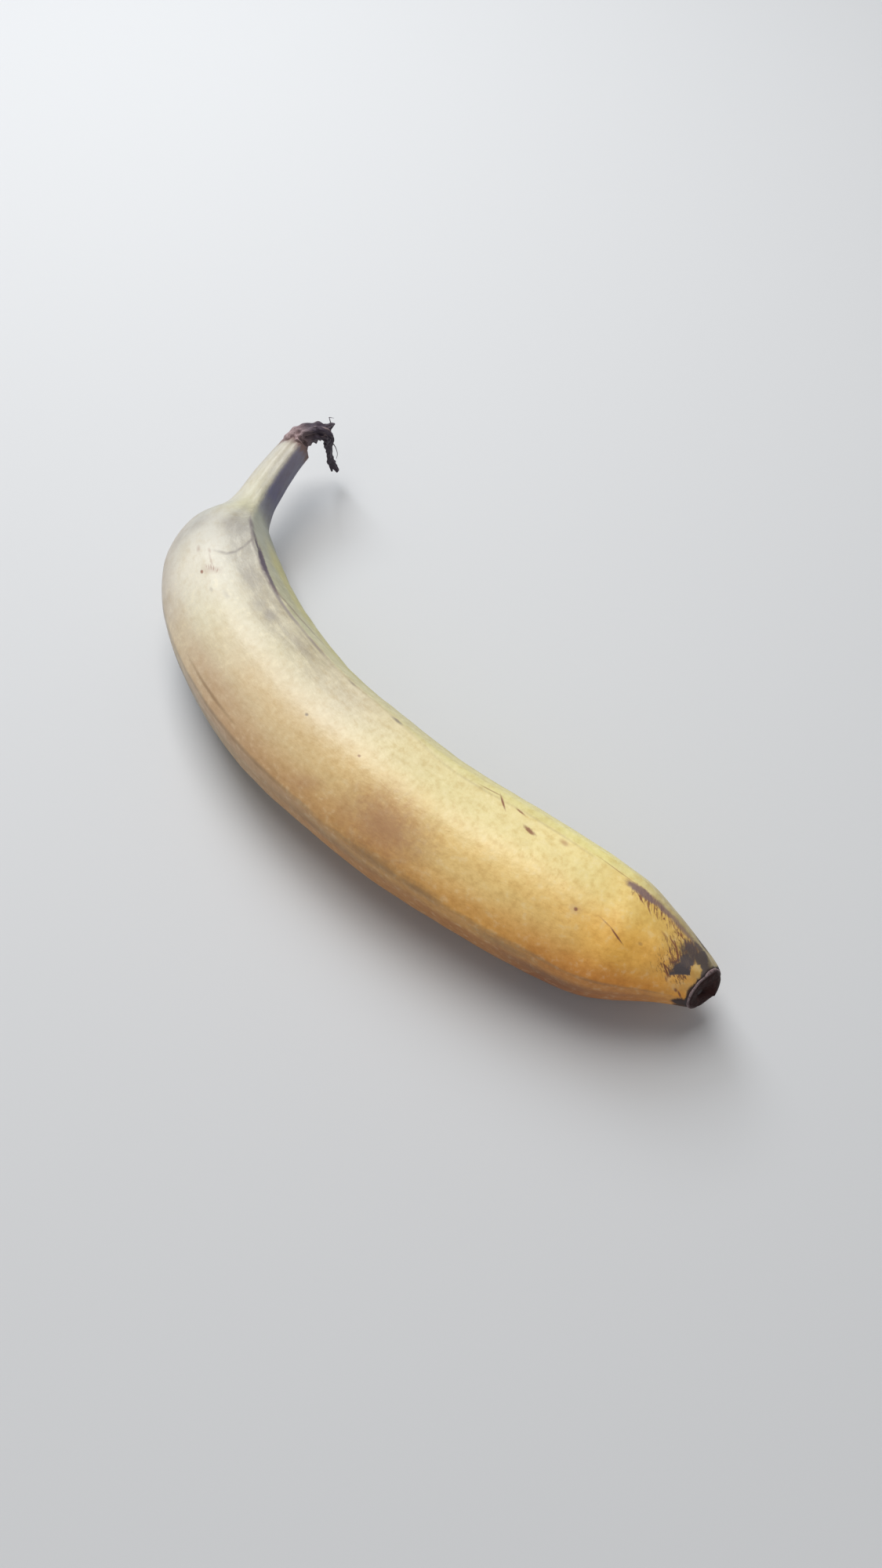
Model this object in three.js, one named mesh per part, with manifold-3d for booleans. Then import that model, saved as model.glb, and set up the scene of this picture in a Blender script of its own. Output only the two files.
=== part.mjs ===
// A ripe banana lying on its side, in millimetres, +Z up.
//
// The fruit is one natural body: a thin stem with the torn remains of the crown, a neck, a
// five-ridged body that bends in the plane of the table, and a small dry button at the blossom
// end. +X runs from the shoulder to the blossom end and the origin is on the table, under the
// middle of the fruit.

import * as THREE from 'three';
import { mergeVertices } from 'three/addons/utils/BufferGeometryUtils.js';
import Module from 'manifold-3d';

// ---- driving dimensions ----------------------------------------------------------------

const LENGTH = 231; // along the centreline, from the stem's broken end to the button's face
const STEM_END = new THREE.Vector2(-98.5, 26.34);
const STEM_HEADING = -62; // degrees, the way the centreline leaves the stem's broken end

// The centreline turns through each of these bends, easing in and out. Degrees and millimetres.
const BENDS = [
  { name: 'neck', from: 14, to: 71, turn: 48.5 },
  { name: 'shoulder', from: 50, to: 140, turn: 29.5 },
  { name: 'body', from: 130, to: 185, turn: 10 },
];

// Half the width across the bend, by distance along the centreline.
const GIRTH = [
  [0, 4.3],
  [12, 4.9],
  [26, 6.4],
  [38, 12.1],
  [51, 16.1],
  [67, 17.9],
  [91, 18.7],
  [127, 18.7],
  [162, 18.3],
  [188, 17.5],
  [206, 15.7],
  [216, 11.9],
  [224, 8.1],
  [227.6, 6.3],
  [229.2, 5.4],
  [230.2, 4.7],
  [231, 3.2],
];

// The peel is round, a little flattened between top and belly, and five blunt ridges run along
// it. Each ridge is at an angle, in degrees from the outside of the bend towards the top. Its
// height is a share of the half width and its width is in degrees.
const FLATTENING = 0.04;
const RIDGES = [
  { name: 'outer', angle: 22, height: 0.055, width: 15 },
  { name: 'crest', angle: 77, height: 0.015, width: 18 },
  { name: 'inner', angle: 125, height: 0.06, width: 14 },
  { name: 'low inner', angle: 198, height: 0.05, width: 16 },
  { name: 'belly', angle: 292, height: 0.05, width: 18 },
];

// The ridges stand this much prouder on the stem and towards the button.
const STEM_RIDGES = { extra: 0.5, from: 15, to: 60 };
const BLOSSOM_RIDGES = { extra: 0.5, from: 185 };

// The belly is pressed flat by this much where it lies on the table.
const BELLY_FLAT = 0.6;

// Both thin ends are carried clear of the table by the stiff body between them.
const STEM_LIFT = { height: 16, to: 62 };
const BLOSSOM_LIFT = { height: 10, from: 200 };

// The torn crown: a stub that leans off the stem's end and a strip of peel that hangs from it
// almost to the table. Each place is [along the stub, sideways, up] from the stem's end, with
// the half thickness of the stub there.
const CROWN = [
  { place: [-3.4, 0.6, -0.4], half: 3.4 },
  { place: [0.8, 1.0, 0.6], half: 3.8 },
  { place: [3.4, 0.2, 1.5], half: 3.5 },
  { place: [6.0, -2.0, 2.1], half: 3.0 },
  { place: [8.2, -4.2, 1.8], half: 2.5 },
  { place: [9.3, -5.4, -1.0], half: 1.7 },
  { place: [9.2, -5.4, -4.4], half: 1.2 },
  { place: [9.6, -5.2, -8.2], half: 1.05 },
  { place: [10.5, -5.4, -12.0], half: 0.95 },
  { place: [11.2, -6.2, -15.0], half: 0.6 },
];

// ---- fineness --------------------------------------------------------------------------

const STATIONS = 74;
const SIDES = 34;
const END_CROWDING = 0.5; // how much closer the stations are at the two ends, 0 to 1
const CROWN_STATIONS = 28;
const CROWN_SIDES = 12;
const CENTRELINE_STEPS = 600;

// ---- formulas --------------------------------------------------------------------------

const radians = THREE.MathUtils.degToRad;

/** Eases from 0 to 1 as a value goes from one limit to the other. */
function ease(value, from, to) {
  return THREE.MathUtils.smoothstep(value, from, to);
}

/** Smooth curve through [distance, value] pairs, each slope set by the neighbours' chord. */
function throughStations(stations, distance) {
  const last = stations.length - 1;
  const slope = (i) => {
    const [x0, y0] = stations[Math.max(i - 1, 0)];
    const [x1, y1] = stations[Math.min(i + 1, last)];
    return (y1 - y0) / (x1 - x0);
  };
  let i = 0;
  while (i < last - 1 && stations[i + 1][0] <= distance) i += 1;
  const [x0, y0] = stations[i];
  const [x1, y1] = stations[i + 1];
  const span = x1 - x0;
  const t = (distance - x0) / span;
  return (
    y0 * (1 + 2 * t) * (1 - t) ** 2 +
    slope(i) * span * t * (1 - t) ** 2 +
    y1 * t * t * (3 - 2 * t) +
    slope(i + 1) * span * t * t * (t - 1)
  );
}

/** The way the centreline runs at a distance along it, in radians. */
function headingAt(distance) {
  const turned = BENDS.reduce((sum, b) => sum + b.turn * ease(distance, b.from, b.to), 0);
  return radians(STEM_HEADING + turned);
}

/** Places on the centreline, seen from above, at equal steps from the stem to the button. */
function walkCentreline() {
  const step = LENGTH / CENTRELINE_STEPS;
  const places = [STEM_END.clone()];
  for (let i = 0; i < CENTRELINE_STEPS; i += 1) {
    const heading = headingAt((i + 0.5) * step);
    const next = places[i].clone();
    next.x += Math.cos(heading) * step;
    next.y += Math.sin(heading) * step;
    places.push(next);
  }
  return places;
}

const CENTRELINE = walkCentreline();

/** The place on the centreline, seen from above, at a distance along it. */
function centreAt(distance) {
  const steps = (distance / LENGTH) * CENTRELINE_STEPS;
  const i = Math.min(Math.floor(steps), CENTRELINE_STEPS - 1);
  return CENTRELINE[i].clone().lerp(CENTRELINE[i + 1], steps - i);
}

/** How proud the ridges stand at a distance along the centreline, against the middle. */
function ridgeStrengthAt(distance) {
  const stem = STEM_RIDGES.extra * (1 - ease(distance, STEM_RIDGES.from, STEM_RIDGES.to));
  const blossom = BLOSSOM_RIDGES.extra * ease(distance, BLOSSOM_RIDGES.from, LENGTH);
  return 1 + stem + blossom;
}

/** Reach of the ridged section in one direction, as a share of the half width. */
function sectionReach(angle, strength) {
  const ridged = RIDGES.reduce((sum, ridge) => {
    const turn = angle - radians(ridge.angle);
    const away = Math.atan2(Math.sin(turn), Math.cos(turn)) / radians(ridge.width);
    return sum + ridge.height * Math.exp(-(away ** 2));
  }, 0);
  return 1 - FLATTENING * Math.sin(angle) ** 2 + strength * ridged;
}

/** One ring of the fruit at a distance along the centreline, with its middle point. */
function fruitRing(distance) {
  const half = throughStations(GIRTH, distance);
  const strength = ridgeStrengthAt(distance);
  const outline = [];
  for (let k = 0; k < SIDES; k += 1) {
    const angle = (k / SIDES) * 2 * Math.PI;
    const reach = half * sectionReach(angle, strength);
    outline.push([reach * Math.cos(angle), reach * Math.sin(angle)]);
  }
  const depthBelow = Math.max(...outline.map(([, up]) => -up));
  const stemLift = STEM_LIFT.height * (1 - ease(distance, 0, STEM_LIFT.to));
  const blossomLift = BLOSSOM_LIFT.height * ease(distance, BLOSSOM_LIFT.from, LENGTH);
  const height = depthBelow - BELLY_FLAT + stemLift + blossomLift;

  const centre = centreAt(distance);
  const heading = headingAt(distance);
  const outward = new THREE.Vector2(Math.sin(heading), -Math.cos(heading));
  const points = outline.map(([out, up]) => new THREE.Vector3(
    centre.x + outward.x * out,
    centre.y + outward.y * out,
    Math.max(0, height + up),
  ));
  return { points, middle: new THREE.Vector3(centre.x, centre.y, height) };
}

/**
 * Closed solid through a row of rings, with a flat fan over each end. Each ring runs clockwise,
 * seen by someone looking along the row.
 */
function loft(rings) {
  const sides = rings[0].points.length;
  const points = rings.flatMap((ring) => ring.points);
  const first = points.push(rings[0].middle) - 1;
  const last = points.push(rings[rings.length - 1].middle) - 1;
  const faces = [];
  for (let i = 0; i < rings.length - 1; i += 1) {
    for (let k = 0; k < sides; k += 1) {
      const a = i * sides + k;
      const b = i * sides + ((k + 1) % sides);
      faces.push(a, a + sides, b);
      faces.push(b, a + sides, b + sides);
    }
  }
  const lastRing = (rings.length - 1) * sides;
  for (let k = 0; k < sides; k += 1) {
    const next = (k + 1) % sides;
    faces.push(first, k, next);
    faces.push(last, lastRing + next, lastRing + k);
  }
  const geometry = new THREE.BufferGeometry().setFromPoints(points);
  geometry.setIndex(faces);
  return geometry;
}

/** The fruit from the stem's broken end to the button. */
function fruitGeometry() {
  const rings = [];
  for (let i = 0; i < STATIONS; i += 1) {
    const t = i / (STATIONS - 1);
    const crowded = t - (END_CROWDING * Math.sin(2 * Math.PI * t)) / (2 * Math.PI);
    rings.push(fruitRing(crowded * LENGTH));
  }
  return loft(rings);
}

/** The torn crown and its hanging strip, swept along a smooth curve off the stem's end. */
function crownGeometry() {
  const start = fruitRing(0).middle;
  const back = headingAt(0) + Math.PI;
  const along = new THREE.Vector3(Math.cos(back), Math.sin(back), 0);
  const sideways = new THREE.Vector3(-along.y, along.x, 0);
  const path = new THREE.CatmullRomCurve3(CROWN.map(({ place: [ahead, aside, up] }) => start
    .clone()
    .addScaledVector(along, ahead)
    .addScaledVector(sideways, aside)
    .add(new THREE.Vector3(0, 0, up))));
  const halves = CROWN.map(({ half }, i) => [i, half]);
  const frames = path.computeFrenetFrames(CROWN_STATIONS - 1);
  const rings = [];
  for (let i = 0; i < CROWN_STATIONS; i += 1) {
    const t = path.getUtoTmapping(i / (CROWN_STATIONS - 1));
    const half = throughStations(halves, t * (CROWN.length - 1));
    const middle = path.getPoint(t);
    const points = [];
    for (let k = 0; k < CROWN_SIDES; k += 1) {
      const angle = (k / CROWN_SIDES) * 2 * Math.PI;
      points.push(middle
        .clone()
        .addScaledVector(frames.binormals[i], half * Math.cos(angle))
        .addScaledVector(frames.normals[i], half * Math.sin(angle)));
    }
    rings.push({ points, middle });
  }
  return loft(rings);
}

// ---- joining ---------------------------------------------------------------------------

const wasm = await Module();
wasm.setup();

/** A solid that can be joined, from a closed geometry. */
function toSolid(geometry) {
  geometry.deleteAttribute('normal');
  geometry.deleteAttribute('uv');
  const merged = mergeVertices(geometry);
  return new wasm.Manifold(new wasm.Mesh({
    numProp: 3,
    vertProperties: Float32Array.from(merged.attributes.position.array),
    triVerts: Uint32Array.from(merged.index.array),
  }));
}

/** A geometry ready for a mesh, from a solid. */
function toGeometry(solid) {
  const mesh = solid.getMesh();
  const geometry = new THREE.BufferGeometry();
  geometry.setAttribute('position', new THREE.BufferAttribute(mesh.vertProperties, 3));
  geometry.setIndex(new THREE.BufferAttribute(mesh.triVerts, 1));
  geometry.computeVertexNormals();
  return geometry;
}

// ---- the part --------------------------------------------------------------------------

const peel = new THREE.MeshStandardMaterial({
  color: 0xd8b56c,
  roughness: 0.5,
  metalness: 0,
});

const banana = new THREE.Mesh(
  toGeometry(toSolid(fruitGeometry()).add(toSolid(crownGeometry()))),
  peel,
);
banana.name = 'banana';

const part = new THREE.Group();
part.add(banana);

export default part;
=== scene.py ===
"""A ripe banana lying on its side, with its torn stem and dry blossom button.

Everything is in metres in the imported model's own frame: +Z up from the table, +X from the
stem shoulder to the blossom end, +Y to the inside of the bend. Places on the skin are given
as a distance along the centreline from the stem's broken end, in millimetres, and an angle
round the section, in degrees from the outside of the bend towards the top.
"""

import logging
import math
from dataclasses import dataclass
from enum import Enum
from typing import Sequence

import bpy
import numpy as np
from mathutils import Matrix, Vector

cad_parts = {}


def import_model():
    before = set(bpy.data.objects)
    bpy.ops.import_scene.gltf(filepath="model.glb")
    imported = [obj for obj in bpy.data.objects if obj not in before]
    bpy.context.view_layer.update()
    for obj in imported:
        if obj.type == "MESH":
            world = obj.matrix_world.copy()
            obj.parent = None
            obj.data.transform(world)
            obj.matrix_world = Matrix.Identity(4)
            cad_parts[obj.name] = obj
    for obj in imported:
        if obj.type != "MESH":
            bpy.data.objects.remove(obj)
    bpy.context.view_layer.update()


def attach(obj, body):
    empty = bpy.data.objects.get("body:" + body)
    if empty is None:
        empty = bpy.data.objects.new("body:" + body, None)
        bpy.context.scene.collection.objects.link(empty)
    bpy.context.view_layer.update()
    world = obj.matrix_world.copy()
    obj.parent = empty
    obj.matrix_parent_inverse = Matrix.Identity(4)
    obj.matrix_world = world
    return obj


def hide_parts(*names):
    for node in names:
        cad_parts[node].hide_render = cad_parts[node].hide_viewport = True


LOG = logging.getLogger("banana")
MM = 0.001
SKIN_MAP = "skin"
STRAIGHT = "straight"
LENGTH_MM = 231.0
RELIEF_HEIGHT = 0.0006

Array = np.ndarray
Colour = tuple[float, float, float]
Place = tuple[float, float, float]
Socket = bpy.types.NodeSocket

# ---- formulas ---------------------------------------------------------------------------


def ease(value: Array, start: float, end: float) -> Array:
    """Goes from 0 to 1 between two limits as t squared times (3 minus 2 t)."""
    t = np.clip((np.asarray(value, float) - start) / (end - start), 0.0, 1.0)
    return t * t * (3.0 - 2.0 * t)


def hump(away: Array) -> Array:
    """A bell of height 1: e to the minus square of the distance from its middle."""
    return np.exp(-np.square(away))


def through_stations(places: Sequence[float], values: Array, at: Array) -> Array:
    """Smooth curve through stations: a cubic piece between each two neighbours.

    Each station's slope is the chord between the stations on either side of it.

    Args:
        places: The stations' places, rising.
        values: One value, or one row of values, for each station.
        at: The places wanted.

    Returns:
        The values at those places.
    """
    x = np.asarray(places, float)
    y = np.asarray(values, float).reshape(len(x), -1)
    before = np.maximum(np.arange(len(x)) - 1, 0)
    after = np.minimum(np.arange(len(x)) + 1, len(x) - 1)
    slope = (y[after] - y[before]) / (x[after] - x[before])[:, None]
    i = np.clip(np.searchsorted(x, at, side="right") - 1, 0, len(x) - 2)
    span = (x[i + 1] - x[i])[..., None]
    t = (np.asarray(at, float) - x[i])[..., None] / span
    curve = (
        y[i] * (1 + 2 * t) * (1 - t) ** 2
        + slope[i] * span * t * (1 - t) ** 2
        + y[i + 1] * t * t * (3 - 2 * t)
        + slope[i + 1] * span * t * t * (t - 1)
    )
    return curve[..., 0] if np.ndim(values) == 1 else curve


def angle_between(angle: Array, other: float) -> Array:
    """Signed difference of two angles in degrees, from -180 to 180."""
    return (np.asarray(angle, float) - other + 180.0) % 360.0 - 180.0


def ripples(along: Array, around: Array, wave_mm: float, turns: int, seed: int) -> Array:
    """Gentle uneven relief between -1 and 1: the mean of sine waves of random phase.

    Each wave is the sine of along / wave plus a whole number of turns round the section, so
    it closes on itself.

    Args:
        along: Distance along, in millimetres.
        around: Angle round the section, in degrees.
        wave_mm: The shortest wave along.
        turns: The most waves round the section.
        seed: Picks the phases.

    Returns:
        The relief, in the same shape as along.
    """
    rng = np.random.default_rng(seed)
    total = np.zeros(np.broadcast(along, around).shape)
    count = 9
    for _ in range(count):
        length = wave_mm * rng.uniform(1.0, 2.4)
        phase = rng.uniform(0.0, 2.0 * math.pi)
        turn = rng.integers(-turns, turns + 1)
        total = total + np.sin(2 * math.pi * along / length + np.radians(around) * turn + phase)
    return total / count * 2.0


# ---- the fruit's shape ------------------------------------------------------------------


@dataclass(frozen=True)
class Bend:
    """One turn of the centreline, eased in and out between two distances along it."""

    start: float
    end: float
    turn: float


@dataclass(frozen=True)
class Ridge:
    """One blunt ridge of the peel. Height is a share of the half width, width in degrees.

    The crest is the fine raised line on its top, in millimetres.
    """

    angle: float
    height: float
    width: float
    crest: float


@dataclass(frozen=True)
class FruitShape:
    """The whole fruit's outer surface as a function of distance along and angle around."""

    length: float = LENGTH_MM
    stem_end: tuple[float, float] = (-98.5, 26.34)
    stem_heading: float = -62.0
    bends: tuple[Bend, ...] = (
        Bend(14, 71, 48.5),
        Bend(50, 140, 29.5),
        Bend(130, 185, 10),
    )
    girth: tuple[tuple[float, float], ...] = (
        (0, 4.3), (12, 4.9), (26, 6.4), (38, 12.1), (51, 16.1), (67, 17.9), (91, 18.7),
        (127, 18.7), (162, 18.3), (188, 17.5), (206, 15.7), (216, 11.9), (224, 8.1),
        (227.6, 6.3), (229.2, 5.4), (230.2, 4.7), (231, 3.2),
    )
    ridges: tuple[Ridge, ...] = (
        Ridge(22, 0.055, 15, 0.22),
        Ridge(77, 0.015, 18, 0.03),
        Ridge(125, 0.06, 14, 0.28),
        Ridge(198, 0.05, 16, 0.2),
        Ridge(292, 0.05, 18, 0.12),
    )
    flattening: float = 0.04
    belly_flat: float = 0.6
    stem_lift: float = 16.0
    stem_lift_to: float = 62.0
    blossom_lift: float = 10.0
    blossom_lift_from: float = 200.0
    rim_tilt: float = 1.75
    rim_tilt_angle: float = 32.0
    rim_tilt_from: float = 205.0
    rim_at: float = 229.2
    steps: int = 600

    def heading(self, along: Array) -> Array:
        """The way the centreline runs, in radians: the start plus every bend so far."""
        turned = sum(bend.turn * ease(along, bend.start, bend.end) for bend in self.bends)
        return np.radians(self.stem_heading + turned)

    def centreline(self, along: Array) -> Array:
        """Places on the centreline seen from above, by adding up short straight steps.

        Args:
            along: Distances along, in millimetres.

        Returns:
            An array with x and y in its last axis, in millimetres.
        """
        step = self.length / self.steps
        way = self.heading((np.arange(self.steps) + 0.5) * step)
        walked = np.cumsum(np.stack([np.cos(way), np.sin(way)], axis=-1) * step, axis=0)
        places = np.concatenate([np.zeros((1, 2)), walked]) + np.array(self.stem_end)
        marks = np.linspace(0.0, self.length, self.steps + 1)
        x = np.interp(along, marks, places[:, 0])
        y = np.interp(along, marks, places[:, 1])
        return np.stack([x, y], axis=-1)

    def half_width(self, along: Array) -> Array:
        """Half the width across the bend, smooth through the girth stations."""
        places, widths = np.array(self.girth, float).T
        return through_stations(places, widths, along)

    def reach(self, along: Array, around: Array) -> Array:
        """How far the smooth skin is from the centreline, in millimetres.

        One, less the flattening times the sine squared, plus a bell for each ridge, all
        times the half width. The ridges stand prouder on the stem and near the button.
        """
        prouder = 0.5 * (1 - ease(along, 15, 60)) + 0.5 * ease(along, 185, self.length)
        ridged = sum(
            ridge.height * hump(angle_between(around, ridge.angle) / ridge.width)
            for ridge in self.ridges
        )
        flat = self.flattening * np.sin(np.radians(around)) ** 2
        return self.half_width(along) * (1 - flat + (1 + prouder) * ridged)

    def height(self, along: Array) -> Array:
        """Height of the centreline above the table, the belly lying on it."""
        probe = np.arange(0.0, 360.0, 5.0)
        reach = self.reach(np.asarray(along)[..., None], probe)
        below = np.max(-reach * np.sin(np.radians(probe)), axis=-1)
        stem = self.stem_lift * (1 - ease(along, 0, self.stem_lift_to))
        blossom = self.blossom_lift * ease(along, self.blossom_lift_from, self.length)
        return below - self.belly_flat + stem + blossom

    def tilt(self, along: Array, around: Array) -> Array:
        """How far the skin's rings are pushed along, so that the button's rim is tilted.

        Minus the tilt times the cosine of the angle from the side that is drawn back, eased
        in over the last stretch before the rim.
        """
        drawn = self.rim_tilt * np.cos(np.radians(around - self.rim_tilt_angle))
        return -drawn * ease(along, self.rim_tilt_from, self.rim_at)

    def surface(self, along: Array, around: Array, relief: Array | float = 0.0) -> Array:
        """Points on the skin, never lower than the table, in metres.

        Args:
            along: One distance for each ring.
            around: Angles, the same for every ring or one row for each.
            relief: Extra reach in millimetres.

        Returns:
            An array of rings by sides by 3.
        """
        rows = along[:, None]
        shifted = rows + self.tilt(rows, around)
        return self.carried(rows, shifted, around, self.reach(rows, around) + relief)

    def carried(self, rows: Array, shifted: Array, around: Array, reach: Array) -> Array:
        """Points at a reach and an angle from shifted places on the centreline, in metres.

        Past the centreline's end they carry straight on.

        Args:
            rows: Distances that set the centreline's height.
            shifted: Distances where the points are.
            around: Their angles.
            reach: Their distances from the centreline.

        Returns:
            An array with x, y and z in its last axis.
        """
        inside = np.minimum(shifted, self.length)
        extra = shifted - inside
        centre = self.centreline(inside)
        way = self.heading(inside)
        out = reach * np.cos(np.radians(around))
        up = reach * np.sin(np.radians(around))
        x = centre[..., 0] + np.sin(way) * out + np.cos(way) * extra
        y = centre[..., 1] - np.cos(way) * out + np.sin(way) * extra
        z = np.maximum(self.height(np.minimum(rows[:, 0], self.length))[:, None] + up, 0.0)
        return np.stack(np.broadcast_arrays(x, y, z), axis=-1) * MM

    def middle(self, along: float) -> Array:
        """One place on the centreline in millimetres."""
        at = np.array([along])
        return np.append(self.centreline(at)[0], self.height(at)[0])


# ---- mesh making ------------------------------------------------------------------------


def closed_tube(
    name: str, rings: Array, ends: tuple[Array, Array], along: Array, straight: Array
) -> bpy.types.Object:
    """A closed skin through a row of rings, with a fan of triangles over each end.

    Each ring runs clockwise, seen by someone looking along the row. The skin map holds the
    distance along as a share of the fruit's length, and the share of a turn round.

    Args:
        name: The piece's name.
        rings: Rings by sides by 3, in metres.
        ends: The middle point of the first fan and of the last.
        along: Distance along of each point, or of each ring, in millimetres.
        straight: The same points with the bends taken out, rings by sides by 3, in metres.

    Returns:
        The new object, linked to the scene.
    """
    count, sides = rings.shape[:2]
    points = np.concatenate([rings.reshape(-1, 3), np.stack(ends)])
    row, side = np.meshgrid(np.arange(count - 1), np.arange(sides), indexing="ij")
    nxt = (side + 1) % sides
    quads = np.stack(
        [row * sides + side, (row + 1) * sides + side, (row + 1) * sides + nxt, row * sides + nxt],
        axis=-1,
    ).reshape(-1, 4)
    k = np.arange(sides)
    first = np.stack([np.full(sides, count * sides), k, (k + 1) % sides], axis=-1)
    base = (count - 1) * sides
    last = np.stack([np.full(sides, count * sides + 1), base + (k + 1) % sides, base + k], axis=-1)
    share = np.broadcast_to(along.reshape(count, -1), (count, sides)) / LENGTH_MM
    u = np.stack(
        [share[row, side], share[row + 1, side], share[row + 1, nxt], share[row, nxt]], axis=-1
    )
    v = np.stack([side, side, side + 1, side + 1], axis=-1) / sides
    quad_map = np.stack([u, v], axis=-1).reshape(-1, 2)
    fans = []
    for end, fan in ((share[0], (k + 0.5, k, k + 1)), (share[-1], (k + 0.5, k + 1, k))):
        fans.append(np.stack([np.repeat(end[:, None], 3, 1), np.stack(fan, -1) / sides], -1))

    corners = np.concatenate([quads.ravel(), first.ravel(), last.ravel()]).astype(np.int32)
    sizes = np.concatenate([np.full(len(quads), 4), np.full(2 * sides, 3)]).astype(np.int32)
    mesh = bpy.data.meshes.new(name)
    mesh.vertices.add(len(points))
    mesh.vertices.foreach_set("co", points.ravel().astype(np.float32))
    mesh.loops.add(len(corners))
    mesh.loops.foreach_set("vertex_index", corners)
    mesh.polygons.add(len(sizes))
    starts = np.concatenate([[0], np.cumsum(sizes)[:-1]]).astype(np.int32)
    mesh.polygons.foreach_set("loop_start", starts)
    skin = mesh.uv_layers.new(name=SKIN_MAP)
    skin_map = np.concatenate([quad_map, *(fan.reshape(-1, 2) for fan in fans)])
    skin.data.foreach_set("uv", skin_map.ravel().astype(np.float32))
    unbent = mesh.attributes.new(STRAIGHT, "FLOAT_VECTOR", "POINT")
    poles = np.stack([straight[0].mean(axis=0), straight[-1].mean(axis=0)])
    unbent.data.foreach_set(
        "vector", np.concatenate([straight.reshape(-1, 3), poles]).ravel().astype(np.float32)
    )
    mesh.update(calc_edges=True)
    mesh.validate()
    mesh.polygons.foreach_set("use_smooth", np.ones(len(mesh.polygons), dtype=bool))
    mesh.update()
    piece = bpy.data.objects.new(name, mesh)
    bpy.context.scene.collection.objects.link(piece)
    return piece


def straightened(along: Array, around: Array, reach: Array) -> Array:
    """The skin's points with the bends taken out: along, then across and up, in metres."""
    across = reach * np.cos(np.radians(around))
    up = reach * np.sin(np.radians(around))
    return np.stack([np.broadcast_to(along, reach.shape), across, up], axis=-1) * MM


@dataclass(frozen=True)
class Strand:
    """A strand of dry peel: a ragged section carried along a smooth path.

    Fields:
        path: Points in millimetres.
        wide: Half width at each point.
        thin: Thickness as a share of the width, at each point.
        lay: Angle of the wide side round the path, in degrees, at each point.
        folds: How many folds run along it.
        fold_depth: Their depth as a share of the width.
        crinkle: Uneven relief, in millimetres.
        rings: Rings along it.
        sides: Points round it.
        seed: Picks the folds' wandering and the crinkles.
    """

    path: tuple[Place, ...]
    wide: tuple[float, ...]
    thin: tuple[float, ...]
    lay: tuple[float, ...]
    folds: int = 5
    fold_depth: float = 0.16
    crinkle: float = 0.2
    rings: int = 120
    sides: int = 48
    seed: int = 3

    def build(self, name: str) -> bpy.types.Object:
        """Carries the section along the path and closes both ends.

        At each ring the wide axis is level and square to the path, turned by the lay. The
        section is an ellipse times one plus the folds, cosines of whole turns that wander
        slowly along the path, plus crinkles.

        Args:
            name: The piece's name.

        Returns:
            The new object.
        """
        stations = np.arange(len(self.path), dtype=float)
        at = np.linspace(0.0, stations[-1], self.rings)
        centre = through_stations(stations, np.array(self.path), at)
        tangent = np.gradient(centre, axis=0)
        tangent /= np.linalg.norm(tangent, axis=1, keepdims=True)
        guide = np.array([0.35, 0.25, 1.0])
        level = np.cross(tangent, guide)
        level /= np.linalg.norm(level, axis=1, keepdims=True)
        other = np.cross(level, tangent)
        turn = np.radians(through_stations(stations, np.array(self.lay), at))[:, None]
        wide_axis = level * np.cos(turn) + other * np.sin(turn)
        thin_axis = np.cross(wide_axis, tangent)
        wide = through_stations(stations, np.array(self.wide), at)[:, None]
        thin = wide * through_stations(stations, np.array(self.thin), at)[:, None]
        run = np.concatenate([[0.0], np.cumsum(np.linalg.norm(np.diff(centre, axis=0), axis=1))])
        around = np.linspace(0.0, 360.0, self.sides, endpoint=False)[None, :]
        angle = np.radians(around)
        wander = 0.9 * np.sin(run / 3.1 + self.seed)[:, None]
        fold = 1 + self.fold_depth * np.cos(self.folds * angle + wander)
        fold = fold + 0.5 * self.fold_depth * np.cos((self.folds + 4) * angle - 1.7 * wander)
        rough = self.crinkle * ripples(run[:, None], around, 1.6, 7, self.seed)
        rough = rough * np.clip(wide / 2.0, 0.25, 1.0)
        out = (wide * fold + rough) * np.cos(angle)
        up = (thin * fold + rough * 0.6) * np.sin(angle)
        points = centre[:, None, :] + wide_axis[:, None, :] * out[..., None]
        points = points + thin_axis[:, None, :] * up[..., None]
        straight = np.stack([np.broadcast_to(run[:, None], out.shape), out, up], axis=-1) * MM
        return closed_tube(name, points * MM, (centre[0] * MM, centre[-1] * MM), run, straight)

# ---- node building ----------------------------------------------------------------------


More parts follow.
